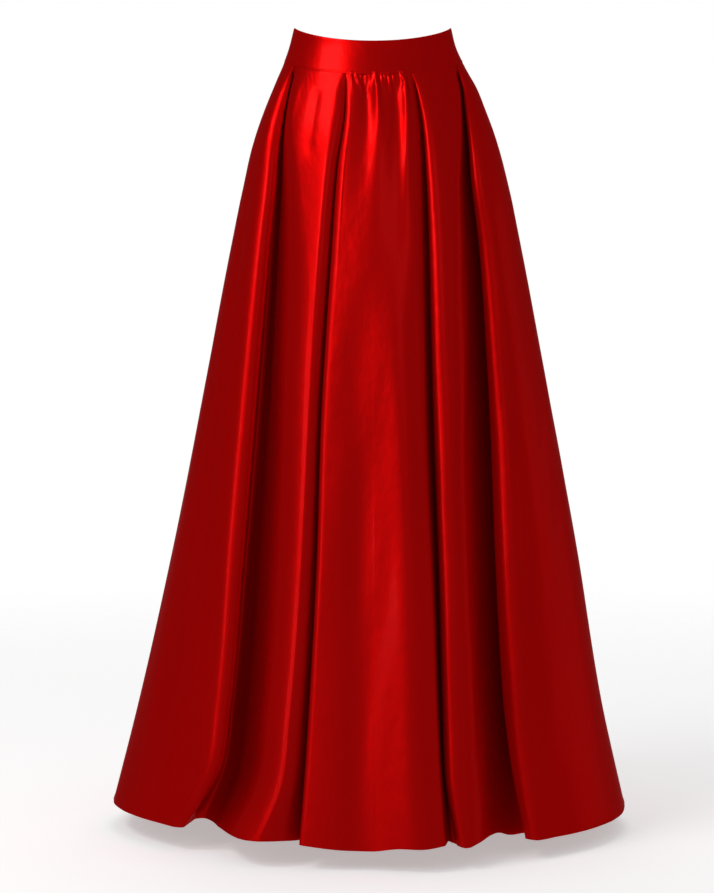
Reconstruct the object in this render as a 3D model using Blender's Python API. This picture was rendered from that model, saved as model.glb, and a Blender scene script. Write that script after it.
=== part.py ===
"""Satin maxi skirt, worn and filled out: a shaped waistband, a pleated and gathered front, two pleated
backs and a centre back zip.

Metres, +Z up. The origin is the middle of the waist opening, level with the band's top edge at the
sides. The front faces -Y. Angles run round the figure from the centre front, positive towards +X, and
reach 180 degrees at the centre back. A drop is a distance below the origin.
"""

import math

import bmesh
import bpy
import numpy as np
from mathutils import Matrix

MM = 0.001

# Driving dimensions
HEM_DROP = 1.120
BAND_HEIGHT = 0.049
RIM_DIP = 0.021
SEAM_DIP = 0.0195
DIP_POWER = 1.5
CLOTH = 1.2 * MM
BAND_CLOTH = 2.4 * MM
SEAM_GAP = 0.3 * MM
SIDE_SEAM = 90.0
CENTRE_BACK = 180.0

# The outline all round, one row a section
SECTION_COLUMNS = ("drop", "half_left", "half_right", "front", "back")
SECTIONS = (
    (0.000, 0.111, 0.111, 0.084, 0.086),
    (0.028, 0.118, 0.118, 0.091, 0.093),
    (0.055, 0.128, 0.131, 0.101, 0.104),
    (0.085, 0.141, 0.148, 0.113, 0.118),
    (0.114, 0.153, 0.160, 0.124, 0.131),
    (0.170, 0.172, 0.180, 0.143, 0.153),
    (0.228, 0.185, 0.195, 0.159, 0.172),
    (0.314, 0.203, 0.213, 0.179, 0.193),
    (0.486, 0.236, 0.246, 0.216, 0.230),
    (0.747, 0.288, 0.295, 0.269, 0.282),
    (0.980, 0.341, 0.334, 0.318, 0.328),
    (1.120, 0.377, 0.366, 0.352, 0.357),
)

# The drops at which the pleats' tables have their columns
LEVEL_NAMES = ("waist", "high_hip", "hip", "thigh", "knee", "ankle", "hem")
LEVELS = (0.060, 0.120, 0.200, 0.400, 0.700, 1.040, 1.120)

# How each pleat tucks under its crease, in millimetres: how far back its root lies, how deep, how round.
# From its root a pleat comes out to its shoulder in an S, or more nearly straight towards the hem.
TUCK_MM = (14.0, 11.0, 8.0, 5.0, 3.0, 1.0, -6.0)
DEPTH_MM = (4.4, 8.0, 14.0, 26.0, 36.0, 42.0, 46.0)
ROUND_MM = (1.1, 1.6, 2.2, 3.6, 4.6, 4.0, 2.6)
STRAIGHTNESS = (0.0, 0.0, 0.0, 0.1, 0.2, 0.5, 0.85)

# Each pleat has the angle of its crease and of the shoulder where the panel under it comes back out to
# the outline. "over" says whether the panel before or after the pleat lies on top, on a path from the
# panel's first edge to its last. "inset" is how far the crease draws in at the hem, "deep" the share of
# DEPTH_MM.
FRONT_PLEATS = (
    {
        "name": "left_side",
        "over": "before",
        "crease": (-60.0, -63.0, -57.0, -52.0, -45.0, -40.5, -47.0),
        "shoulder": (-52.0, -48.0, -41.0, -34.0, -31.5, -30.0, -30.0),
        "deep": 1.15,
        "inset": 24 * MM,
    },
    {
        "name": "left_centre",
        "over": "after",
        "crease": (-16.0, -11.8, -13.2, -14.4, -14.0, -14.4, -14.8),
        "shoulder": (-19.0, -22.2, -23.0, -22.7, -21.2, -21.0, -27.0),
        "deep": 0.85,
        "inset": 12 * MM,
    },
    {
        "name": "right_centre",
        "over": "after",
        "crease": (23.5, 25.8, 24.8, 22.2, 19.6, 17.8, 19.6),
        "shoulder": (21.5, 20.5, 18.8, 16.8, 15.2, 14.4, 14.6),
        "deep": 0.90,
        "inset": 10 * MM,
    },
    {
        "name": "right_side",
        "over": "after",
        "crease": (64.0, 55.6, 49.6, 46.0, 39.4, 37.0, 37.8),
        "shoulder": (57.0, 47.5, 41.5, 34.5, 28.5, 25.5, 25.5),
        "deep": 1.15,
        "inset": 12 * MM,
    },
)
LEFT_BACK_PLEATS = (
    {
        "name": "left_back_side",
        "over": "before",
        "crease": (-114.0, -118.0, -122.0, -126.0, -130.0, -133.0, -131.0),
        "shoulder": (-122.0, -128.0, -135.0, -140.0, -143.0, -145.0, -146.0),
        "deep": 1.10,
        "inset": 12 * MM,
    },
    {
        "name": "left_back_centre",
        "over": "before",
        "crease": (-150.0, -151.0, -152.0, -154.0, -156.0, -158.0, -156.0),
        "shoulder": (-156.0, -158.0, -160.0, -162.0, -165.0, -167.0, -167.0),
        "deep": 0.90,
        "inset": 10 * MM,
    },
)
RIGHT_BACK_PLEATS = (
    {
        "name": "right_back_side",
        "over": "before",
        "crease": (115.0, 117.0, 120.0, 124.0, 129.0, 131.0, 129.0),
        "shoulder": (123.0, 127.0, 132.0, 138.0, 142.0, 143.0, 142.0),
        "deep": 1.15,
        "inset": 12 * MM,
    },
    {
        "name": "right_back_centre",
        "over": "before",
        "crease": (149.0, 151.0, 153.0, 154.0, 155.0, 156.0, 154.0),
        "shoulder": (156.0, 158.0, 161.0, 163.0, 164.0, 165.0, 165.0),
        "deep": 0.95,
        "inset": 10 * MM,
    },
)

# The gathers at the centre front: place across the middle panel, height, half width as a share of the
# panel, and how far down each one runs before it has faded out
GATHER_COLUMNS = ("place", "height", "spread", "length")
GATHERS = (
    (0.07, 1.6 * MM, 0.026, 0.020),
    (0.17, 1.8 * MM, 0.030, 0.026),
    (0.31, 1.8 * MM, 0.034, 0.028),
    (0.44, 4.0 * MM, 0.052, 0.120),
    (0.55, 1.5 * MM, 0.022, 0.018),
    (0.65, 1.8 * MM, 0.026, 0.030),
    (0.74, 1.6 * MM, 0.022, 0.020),
    (0.86, 4.2 * MM, 0.050, 0.150),
    (0.96, 1.6 * MM, 0.020, 0.040),
)

# How finely the walls are cut up
CAP_STEPS = 3
ROOT_STEPS = 2
SLOPE_STEPS = 4
BODY_STEPS = 4
BAND_COLUMNS = 64
BAND_ROWS = 3
FRONT_ROWS = (0.0, 0.012, 0.028, 0.05, 0.08, 0.12, 0.17, 0.23, 0.31, 0.4, 0.5, 0.6, 0.7, 0.8, 0.88, 0.94, 0.975, 1.0)
ZIP_ROWS = (0.0, 0.018, 0.04, 0.07, 0.105, 0.146)
BACK_ROWS = ZIP_ROWS + (0.2, 0.29, 0.4, 0.52, 0.65, 0.78, 0.88, 0.95, 1.0)

# The zip, which closes with its slider at the top of the band
ZIP_WIDTH = 22 * MM
ZIP_THICK = 1.0 * MM
SLIDER_BELOW_RIM = 9 * MM
SLIDER_WIDTH = 5.8 * MM
SLIDER_HEIGHT = 9.0 * MM
SLIDER_THICK = 2.0 * MM
LUG_THICK = 0.8 * MM
BAR_RADIUS = 0.5 * MM
KNUCKLE_BORE = 0.8 * MM
KNUCKLE_RADIUS = 1.5 * MM
KNUCKLE_WIDTH = 3.4 * MM
RUNNING_GAP = 0.3 * MM
PULL_LENGTH = 22 * MM
PULL_WIDTH = 6.0 * MM
PULL_NECK = 3.4 * MM
PULL_THICK = 1.1 * MM
BAR_OUT = KNUCKLE_RADIUS + RUNNING_GAP
TURN_TO_X = Matrix.Rotation(math.radians(90), 3, "Y")

# Colours, roughness and metallic value
SATIN = ("satin", (0.60, 0.004, 0.008, 1.0), 0.32, 0.0)
ZIP_CLOTH = ("zip_tape", (0.42, 0.004, 0.008, 1.0), 0.75, 0.0)
LACQUER = ("zip_lacquer", (0.50, 0.004, 0.008, 1.0), 0.30, 0.4)


def clear_scene():
    for obj in list(bpy.data.objects):
        bpy.data.objects.remove(obj)


def material(name, colour, roughness, metallic):
    made = bpy.data.materials.get(name) or bpy.data.materials.new(name)
    made.use_nodes = True
    shader = made.node_tree.nodes["Principled BSDF"]
    shader.inputs["Base Color"].default_value = colour
    shader.inputs["Roughness"].default_value = roughness
    shader.inputs["Metallic"].default_value = metallic
    return made


def through(at, knots, values):
    """Values on a smooth curve through a table's rows, with straight ends."""
    knots = np.asarray(knots, float)
    values = np.asarray(values, float)
    at = np.clip(np.asarray(at, float), knots[0], knots[-1])
    slopes = np.gradient(values, knots)
    k = np.clip(np.searchsorted(knots, at, side="right") - 1, 0, len(knots) - 2)
    span = knots[k + 1] - knots[k]
    u = (at - knots[k]) / span
    start = (1 + 2 * u) * (1 - u) ** 2 * values[k] + u * (1 - u) ** 2 * span * slopes[k]
    end = u * u * (3 - 2 * u) * values[k + 1] + u * u * (u - 1) * span * slopes[k + 1]
    return start + end


def level(values, drop):
    return float(through(drop, LEVELS, values))


def section(column, drop):
    table = np.array(SECTIONS)
    return through(drop, table[:, 0], table[:, SECTION_COLUMNS.index(column)])


def half_axes(angle, drop):
    """The outline's half width and half depth on the side of the figure where an angle lies."""
    width = np.where(np.sin(angle) < 0, section("half_left", drop), section("half_right", drop))
    depth = np.where(np.cos(angle) < 0, section("back", drop), section("front", drop))
    return width, depth


def on_outline(degrees, inward, drop):
    """Points (x, y) that lie inward of the outline, with angles in degrees."""
    angle = np.radians(degrees)
    width, depth = half_axes(angle, drop)
    x = width * np.sin(angle)
    y = -depth * np.cos(angle)
    out = np.stack([x / width**2, y / depth**2], axis=-1)
    out /= np.linalg.norm(out, axis=-1, keepdims=True)
    return np.stack([x, y], axis=-1) - out * np.asarray(inward)[..., None]


def degrees_per_metre(degrees, drop):
    angle = math.radians(degrees)
    width, depth = half_axes(angle, drop)
    return math.degrees(1 / math.hypot(width * math.cos(angle), depth * math.sin(angle)))


def dip(degrees):
    """How far a level line sinks at an angle: all of it at the centre front and back, none at the sides."""
    return np.abs(np.cos(np.radians(degrees))) ** DIP_POWER


def rim_drop(degrees):
    return RIM_DIP * dip(degrees)


def seam_drop(degrees):
    return BAND_HEIGHT + SEAM_DIP * dip(degrees)


def eased(share):
    return share * share * (3 - 2 * share)


def pleat_path(pleat, drop):
    """(degrees, inward) along one pleat, from its crease, round its root and out to its shoulder."""
    crease = level(pleat["crease"], drop)
    shoulder = level(pleat["shoulder"], drop)
    per_metre = degrees_per_metre(crease, drop)
    tuck = level(TUCK_MM, drop) * MM
    depth = level(DEPTH_MM, drop) * MM * pleat["deep"]
    depth = max(depth, DEPTH_MM[0] * MM)
    round_off = level(ROUND_MM, drop) * MM
    reach = abs(shoulder - crease) / per_metre
    inset = pleat["inset"] * (drop / HEM_DROP) ** 2
    run_along = round_off - tuck + round_off
    run_in = depth - 2 * round_off
    straight = math.sqrt(max(run_along**2 + run_in**2 - 4 * round_off**2, 0.0))
    turn = math.atan2(run_in, run_along) + math.atan2(2 * round_off, straight)
    path = []
    for k in range(CAP_STEPS + 1):
        beta = turn * k / CAP_STEPS
        path.append((-round_off + round_off * math.sin(beta), round_off - round_off * math.cos(beta)))
    for k in range(ROOT_STEPS, -1, -1):
        beta = turn * k / ROOT_STEPS
        along = -tuck + round_off - round_off * math.sin(beta)
        path.append((along, depth - round_off + round_off * math.cos(beta)))
    emerge = max(2 * round_off, round_off - tuck + round_off)
    straightness = level(STRAIGHTNESS, drop)
    for k in range(SLOPE_STEPS + 1):
        share = k / SLOPE_STEPS
        risen = eased(share) + (share - eased(share)) * straightness
        path.append((emerge + (reach - emerge) * share, depth * (1 - risen)))
    side = 1.0 if shoulder > crease else -1.0
    ends = path[-1][0]
    placed = []
    for along, inward in path:
        drawn_in = inset * (1 - eased(min(max(along / ends, 0.0), 1.0)))
        placed.append((crease + side * along * per_metre, inward + drawn_in))
    return placed if pleat["over"] == "before" else placed[::-1]


def gather_lift(place, below_seam):
    """How far the gathers stand out of the middle panel."""
    lift = 0.0
    for row in GATHERS:
        gather = dict(zip(GATHER_COLUMNS, row))
        away = (place - gather["place"]) / gather["spread"]
        lift += gather["height"] * math.exp(-away * away) * math.exp(-below_seam / gather["length"])
    return lift


def body_path(start, end, shares, drop, gathered):
    """(degrees, inward) across the panel between two pleats, without its ends."""
    path = []
    for share in shares:
        degrees = start[0] + (end[0] - start[0]) * share
        inward = start[1] + (end[1] - start[1]) * eased(share)
        if gathered:
            inward -= gather_lift(share, max(drop - seam_drop(degrees), 0.0))
        path.append((degrees, inward))
    return path


def even_shares(steps):
    return [k / steps for k in range(1, steps)]


def gather_shares():
    """Shares of the middle panel at each gather's top and at the hollows beside it."""
    tops = [row[0] for row in GATHERS]
    hollows = [(a + b) / 2 for a, b in zip([0.0] + tops, tops + [1.0])]
    return sorted(tops + hollows)


def panel_path(pleats, first, last, drop, gathered):
    """(degrees, inward) along a whole panel, edge to edge. The pleats are in order along it."""
    folds = [pleat_path(pleat, drop) for pleat in pleats]
    path = [(first, 0.0)]
    for k, fold in enumerate(folds + [[(last, 0.0)]]):
        middle = gathered and k == len(folds) // 2
        shares = gather_shares() if middle else even_shares(BODY_STEPS)
        path += body_path(path[-1], fold[0], shares, drop, middle)
        path += fold
    return path


def seam_edges(points):
    """The plan's outward normals along one row of points."""
    along = np.gradient(points, axis=0)
    normals = np.stack([along[:, 1], -along[:, 0]], axis=-1)
    return normals / np.linalg.norm(normals, axis=1, keepdims=True)


def wall(name, rows, thickness, paint):
    """A closed wall of cloth round a grid of points, which are its middle surface."""
    outer, inner = [], []
    for row in rows:
        row = np.asarray(row)
        normals = seam_edges(row[:, :2])
        step = np.concatenate([normals, np.zeros((len(row), 1))], axis=1) * thickness / 2
        outer.append(row + step)
        inner.append(row - step)
    count_rows, count_columns = len(rows), len(rows[0])
    points = np.concatenate([np.concatenate(outer), np.concatenate(inner)])
    back = count_rows * count_columns

    def at(i, j, side):
        return side * back + i * count_columns + j

    faces = []
    for i in range(count_rows - 1):
        for j in range(count_columns - 1):
            faces.append((at(i, j, 0), at(i + 1, j, 0), at(i + 1, j + 1, 0), at(i, j + 1, 0)))
            faces.append((at(i, j, 1), at(i, j + 1, 1), at(i + 1, j + 1, 1), at(i + 1, j, 1)))
        last = count_columns - 1
        faces.append((at(i, 0, 0), at(i, 0, 1), at(i + 1, 0, 1), at(i + 1, 0, 0)))
        faces.append((at(i, last, 0), at(i + 1, last, 0), at(i + 1, last, 1), at(i, last, 1)))
    bottom = count_rows - 1
    for j in range(count_columns - 1):
        faces.append((at(0, j, 0), at(0, j + 1, 0), at(0, j + 1, 1), at(0, j, 1)))
        faces.append((at(bottom, j, 0), at(bottom, j, 1), at(bottom, j + 1, 1), at(bottom, j + 1, 0)))
    mesh = bpy.data.meshes.new(name)
    mesh.from_pydata([tuple(p) for p in points], [], faces)
    return solid(name, mesh, paint)


def solid(name, mesh, paint):
    """A named object of a mesh, with its faces pointing out and its round faces shaded smooth."""
    shape = bmesh.new()
    shape.from_mesh(mesh)
    bmesh.ops.recalc_face_normals(shape, faces=shape.faces)
    shape.to_mesh(mesh)
    shape.free()
    mesh.shade_smooth()
    mesh.set_sharp_from_angle(angle=math.radians(50))
    mesh.materials.append(material(*paint))
    obj = bpy.data.objects.new(name, mesh)
    bpy.context.scene.collection.objects.link(obj)
    return obj


def panel(name, pleats, first, last, shares, gathered):
    """One cut panel of the skirt, from the waist seam down to the hem."""
    rows = []
    for share in shares:
        drop = BAND_HEIGHT + (HEM_DROP - BAND_HEIGHT) * share
        path = np.array(panel_path(pleats, first, last, drop + SEAM_DIP * (1 - share), gathered))
        top = seam_drop(path[:, 0]) + SEAM_GAP
        drops = top + (HEM_DROP - top) * share
        plan = on_outline(path[:, 0], path[:, 1], drops)
        plan = trim_ends(plan)
        rows.append(np.column_stack([plan, -drops]))
    return wall(name, rows, CLOTH, SATIN)


def trim_ends(plan):
    """Draws a row's two ends back by half a seam's gap."""
    plan = plan.copy()
    for end, beside in ((0, 1), (-1, -2)):
        away = plan[beside] - plan[end]
        plan[end] += away / np.linalg.norm(away) * SEAM_GAP / 2
    return plan


def waistband():
    """One shaped strip from the centre back, round the front and back to its start."""
    degrees = np.linspace(-CENTRE_BACK, CENTRE_BACK, BAND_COLUMNS + 1)
    rows = []
    for i in range(BAND_ROWS + 1):
        share = i / BAND_ROWS
        drops = rim_drop(degrees) + (seam_drop(degrees) - rim_drop(degrees)) * share
        plan = on_outline(degrees, np.zeros(len(degrees)), drops)
        plan = trim_ends(plan)
        rows.append(np.column_stack([plan, -drops]))
    return wall("waistband", rows, BAND_CLOTH, SATIN)


def zip_tape():
    """The zip's closed tape, which lies inside the centre back seam, row for row with the backs."""
    half_degrees = ZIP_WIDTH / 2 * degrees_per_metre(CENTRE_BACK, BAND_HEIGHT)
    degrees = np.linspace(CENTRE_BACK - half_degrees, CENTRE_BACK + half_degrees, 5)
    rim = rim_drop(CENTRE_BACK)
    seam = seam_drop(CENTRE_BACK) + SEAM_GAP
    drops = [rim + 1 * MM] + [rim + (seam - rim) * k / BAND_ROWS for k in range(1, BAND_ROWS)]
    drops += [seam + (HEM_DROP - seam) * share for share in ZIP_ROWS]
    on_band = BAND_CLOTH / 2 + SEAM_GAP + ZIP_THICK / 2
    on_skirt = CLOTH / 2 + 2 * SEAM_GAP + ZIP_THICK / 2
    rows = []
    for drop in drops:
        inward = on_skirt if drop > seam + 1 * MM else on_band
        plan = on_outline(degrees, np.full(len(degrees), inward), np.full(len(degrees), drop))
        rows.append(np.column_stack([plan, np.full(len(degrees), -drop)]))
    return wall("zip_tape", rows, ZIP_THICK, ZIP_CLOTH)


def block(size, centre):
    """A box in a new bmesh."""
    shape = bmesh.new()
    bmesh.ops.create_cube(shape, size=1.0)
    bmesh.ops.scale(shape, vec=size, verts=shape.verts)
    bmesh.ops.translate(shape, vec=centre, verts=shape.verts)
    return shape


def rod(radius, length, centre, sides=20):
    """A cylinder along X in a new bmesh."""
    shape = bmesh.new()
    bmesh.ops.create_cone(shape, cap_ends=True, segments=sides, radius1=radius, radius2=radius, depth=length)
    bmesh.ops.rotate(shape, cent=(0, 0, 0), matrix=TURN_TO_X, verts=shape.verts)
    bmesh.ops.translate(shape, vec=centre, verts=shape.verts)
    return shape


def as_object(name, shape, paint, helper=False):
    mesh = bpy.data.meshes.new(name)
    shape.to_mesh(mesh)
    shape.free()
    obj = solid(name, mesh, paint)
    obj.hide_render = helper
    obj.display_type = "WIRE" if helper else "TEXTURED"
    return obj


def combine(target, other, operation):
    modifier = target.modifiers.new(operation.lower() + "_" + other.name, "BOOLEAN")
    modifier.operation = operation
    modifier.object = other
    other.parent = target


def band_face(drop):
    """The band's outer face at the centre back, as a distance behind the origin."""
    return float(section("back", drop)) + BAND_CLOTH / 2


def zip_frame():
    """An empty on the band's outer face at the slider, with +Y out of the cloth and -Z down along it."""
    drop = float(rim_drop(CENTRE_BACK)) + SLIDER_BELOW_RIM
    half = SLIDER_HEIGHT / 2
    fall = band_face(drop + half) - band_face(drop - half)
    frame = bpy.data.objects.new("zip_frame", None)
    bpy.context.scene.collection.objects.link(frame)
    tilt = math.atan2(fall, SLIDER_HEIGHT)
    outer = BAND_CLOTH / 2 / math.cos(tilt) + 2 * SEAM_GAP
    frame.location = (0.0, float(section("back", drop)) + outer, -drop)
    frame.rotation_euler = (tilt, 0.0, 0.0)
    return frame


def zip_slider(frame):
    """The slider's plate, the two lugs on it and the bar between them."""
    body = block((SLIDER_WIDTH, SLIDER_THICK, SLIDER_HEIGHT), (0, SLIDER_THICK / 2, 0))
    slider = as_object("zip_slider", body, LACQUER)
    bevel = slider.modifiers.new("soft_edges", "BEVEL")
    bevel.width = 0.6 * MM
    bevel.segments = 2
    lug_height = BAR_OUT + 2 * BAR_RADIUS
    for side in (-1, 1):
        x = side * (KNUCKLE_WIDTH / 2 + RUNNING_GAP + LUG_THICK / 2)
        tall = SLIDER_THICK * 0.5 + lug_height
        lug = block((LUG_THICK, tall, 3.2 * MM), (x, SLIDER_THICK * 0.5 + tall / 2, 0))
        combine(slider, as_object("lug", lug, LACQUER, helper=True), "UNION")
    bar = rod(BAR_RADIUS, KNUCKLE_WIDTH + 2 * RUNNING_GAP + LUG_THICK, (0, SLIDER_THICK + BAR_OUT, 0), 12)
    combine(slider, as_object("bar", bar, LACQUER, helper=True), "UNION")
    slider.parent = frame
    return slider


def pull_outline():
    """The pull's flat outline, from its neck to its round end: a teardrop of two straight sides and an arc."""
    radius = PULL_WIDTH / 2
    centre = -(PULL_LENGTH - radius)
    neck = PULL_NECK / 2
    top = -BAR_RADIUS
    outline = [(-neck, top), (-neck, top - 2.5 * MM)]
    for k in range(13):
        angle = math.pi + math.pi * k / 12
        outline.append((radius * math.cos(angle), centre + radius * math.sin(angle)))
    outline += [(neck, top - 2.5 * MM), (neck, top)]
    return outline


def zip_pull(frame):
    """The teardrop pull, whose knuckle turns on the slider's bar. Its origin is on the bar's axis."""
    shape = bmesh.new()
    lower = [shape.verts.new((x, -PULL_THICK / 2, z)) for x, z in pull_outline()]
    face = shape.faces.new(lower)
    grown = bmesh.ops.extrude_face_region(shape, geom=[face])
    moved = [v for v in grown["geom"] if isinstance(v, bmesh.types.BMVert)]
    bmesh.ops.translate(shape, vec=(0, PULL_THICK, 0), verts=moved)
    pull = as_object("zip_pull", shape, LACQUER)
    knuckle = rod(KNUCKLE_RADIUS, KNUCKLE_WIDTH, (0, 0, 0))
    combine(pull, as_object("knuckle", knuckle, LACQUER, helper=True), "UNION")
    bore = rod(KNUCKLE_BORE, PULL_WIDTH, (0, 0, 0))
    combine(pull, as_object("bore", bore, LACQUER, helper=True), "DIFFERENCE")
    pull.parent = frame
    pull.location = (0, SLIDER_THICK + BAR_OUT, 0)
    pull.rotation_euler = (resting_turn(frame), 0, 0)
    return pull


def resting_turn(frame):
    """How far the pull turns in from the slider's plane before its tip lies on the band."""
    tilt = frame.rotation_euler.x
    out = SLIDER_THICK + BAR_OUT
    bar_y = frame.location.y + out * math.cos(tilt)
    bar_z = frame.location.z + out * math.sin(tilt)
    turn = math.radians(-20)
    while True:
        along = tilt + turn
        tip_y = bar_y + PULL_LENGTH * math.sin(along) - PULL_THICK / 2 * math.cos(along)
        tip_z = bar_z - PULL_LENGTH * math.cos(along) - PULL_THICK / 2 * math.sin(along)
        if tip_y - band_face(-tip_z) > 2 * SEAM_GAP:
            return turn
        turn += math.radians(0.25)


def build():
    clear_scene()
    waistband()
    panel("skirt_front", FRONT_PLEATS, -SIDE_SEAM, SIDE_SEAM, FRONT_ROWS, gathered=True)
    panel("skirt_back_left", LEFT_BACK_PLEATS, -SIDE_SEAM, -CENTRE_BACK, BACK_ROWS, gathered=False)
    panel("skirt_back_right", RIGHT_BACK_PLEATS, SIDE_SEAM, CENTRE_BACK, BACK_ROWS, gathered=False)
    zip_tape()
    frame = zip_frame()
    zip_slider(frame)
    zip_pull(frame)


build()
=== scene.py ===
"""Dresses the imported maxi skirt: red satin with soft pleats and gathers, a smooth shaped waistband and a
centre back zip, in a pale studio.

Metres, +Z up. The front faces -Y. Angles run round the figure in degrees from the centre front, positive
towards +X. A drop is a distance below the band's top edge at the sides.
"""

from __future__ import annotations

import logging
import math
from dataclasses import dataclass
from enum import Enum

import bmesh
import bpy
import numpy as np
from bpy.types import Material, Node, NodeTree, Object
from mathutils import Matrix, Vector

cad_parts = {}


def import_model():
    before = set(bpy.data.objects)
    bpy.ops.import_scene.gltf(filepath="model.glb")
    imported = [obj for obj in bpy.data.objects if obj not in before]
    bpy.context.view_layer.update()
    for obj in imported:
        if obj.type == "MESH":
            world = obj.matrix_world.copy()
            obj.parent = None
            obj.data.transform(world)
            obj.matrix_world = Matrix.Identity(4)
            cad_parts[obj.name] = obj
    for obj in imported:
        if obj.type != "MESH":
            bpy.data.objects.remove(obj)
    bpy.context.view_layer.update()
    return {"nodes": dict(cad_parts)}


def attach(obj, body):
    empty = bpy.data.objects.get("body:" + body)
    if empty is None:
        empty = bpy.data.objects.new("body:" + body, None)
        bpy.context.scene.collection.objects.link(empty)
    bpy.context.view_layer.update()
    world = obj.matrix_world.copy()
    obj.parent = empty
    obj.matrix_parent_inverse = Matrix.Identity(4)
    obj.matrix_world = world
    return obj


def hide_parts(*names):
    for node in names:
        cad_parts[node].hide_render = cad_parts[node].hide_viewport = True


LOG = logging.getLogger("maxi_skirt")
MM = 0.001
HEM_DROP = 1.120
CENTRE_BACK = 180.0
SIDE_SEAM = 90.0
# Edges that bend by more than this many degrees stay sharp
SHARP_FROM = 60.0

# One value for each drop or level of a table
Row = tuple[float, ...]
Values = np.ndarray | float
Pair = tuple[float, float]
Triple = tuple[float, float, float]
Colour = tuple[float, float, float, float]


class Over(Enum):
    """Which panel lies on top at a pleat, on a path from a panel's first edge to its last."""

    BEFORE = "before"
    AFTER = "after"


def eased(share: Values) -> Values:
    """A smooth step from 0 to 1.

    Args:
        share: values from 0 to 1.

    Returns:
        The eased values.
    """
    return share * share * (3 - 2 * share)


def through(at: Values, knots: Row, values: Row) -> np.ndarray:
    """Reads a smooth curve that passes through a table's rows.

    Args:
        at: where to read it.
        knots: the table's places, rising.
        values: the table's values.

    Returns:
        The curve's values, held at both ends of the table.
    """
    places = np.asarray(knots, float)
    heights = np.asarray(values, float)
    held = np.clip(np.asarray(at, float), places[0], places[-1])
    slopes = np.gradient(heights, places)
    k = np.clip(np.searchsorted(places, held, side="right") - 1, 0, len(places) - 2)
    span = places[k + 1] - places[k]
    u = (held - places[k]) / span
    start = (1 + 2 * u) * (1 - u) ** 2 * heights[k] + u * (1 - u) ** 2 * span * slopes[k]
    end = u * u * (3 - 2 * u) * heights[k + 1] + u * u * (u - 1) * span * slopes[k + 1]
    return start + end


@dataclass(frozen=True)
class Figure:
    """The skirt's outline when worn: its half widths and half depths at a few drops."""

    drops: Row = (0.0, 0.028, 0.055, 0.085, 0.114, 0.170, 0.228, 0.314, 0.486, 0.747, 0.980, 1.120)
    left: Row = (0.111, 0.118, 0.128, 0.141, 0.153, 0.172, 0.185, 0.203, 0.236, 0.288, 0.341, 0.377)
    right: Row = (0.111, 0.118, 0.131, 0.148, 0.160, 0.180, 0.195, 0.213, 0.246, 0.295, 0.334, 0.366)
    front: Row = (0.084, 0.091, 0.101, 0.113, 0.124, 0.143, 0.159, 0.179, 0.216, 0.269, 0.318, 0.352)
    back: Row = (0.086, 0.093, 0.104, 0.118, 0.131, 0.153, 0.172, 0.193, 0.230, 0.282, 0.328, 0.357)
    band_height: float = 0.049
    rim_dip: float = 0.021
    seam_dip: float = 0.0195
    dip_power: float = 1.5

    def half_axes(self, angle: np.ndarray, drop: Values) -> tuple[np.ndarray, np.ndarray]:
        """Finds the outline's half width and half depth on one side of the figure.

        Args:
            angle: angles in radians.
            drop: the drops there.

        Returns:
            The half widths and the half depths.
        """
        left, right, front, back = (
            through(drop, self.drops, row) for row in (self.left, self.right, self.front, self.back)
        )
        return np.where(np.sin(angle) < 0, left, right), np.where(np.cos(angle) < 0, back, front)

    def place(self, degrees: np.ndarray, inward: Values, drop: Values) -> np.ndarray:
        """Places points that lie inward of the outline.

        Args:
            degrees: angles round the figure.
            inward: distances in from the outline.
            drop: the drops there.

        Returns:
            Points with x, y and z in their last axis.
        """
        angle = np.radians(degrees)
        width, depth = self.half_axes(angle, drop)
        x = width * np.sin(angle)
        y = -depth * np.cos(angle)
        out = np.stack([x / width**2, y / depth**2], axis=-1)
        out /= np.linalg.norm(out, axis=-1, keepdims=True)
        plan = np.stack([x, y], axis=-1) - out * np.broadcast_to(inward, x.shape)[..., None]
        return np.concatenate([plan, -np.broadcast_to(drop, x.shape)[..., None]], axis=-1)

    def degrees_per_metre(self, degrees: Values, drop: Values) -> np.ndarray:
        """Finds how many degrees one metre of the outline spans.

        Args:
            degrees: angles round the figure.
            drop: the drops there.

        Returns:
            Degrees for each metre along the outline.
        """
        angle = np.radians(degrees)
        width, depth = self.half_axes(angle, drop)
        return np.degrees(1 / np.hypot(width * np.cos(angle), depth * np.sin(angle)))

    def dip(self, degrees: Values) -> np.ndarray:
        """How far a level line sinks: all of it at the centre front and back, none at the sides."""
        return np.abs(np.cos(np.radians(degrees))) ** self.dip_power

    def rim(self, degrees: Values) -> np.ndarray:
        """The drop of the band's top edge at an angle."""
        return self.rim_dip * self.dip(degrees)

    def seam(self, degrees: Values) -> np.ndarray:
        """The drop of the seam under the band at an angle."""
        return self.band_height + self.seam_dip * self.dip(degrees)


# The drops at which every pleat's rows are given
LEVELS = (0.060, 0.090, 0.120, 0.200, 0.320, 0.500, 0.750, 0.950, 1.040, 1.120)


def at_level(row: Row, drop: float) -> float:
    """Reads a row that has a value for each level, at any drop."""
    return float(through(drop, LEVELS, row))


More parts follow.
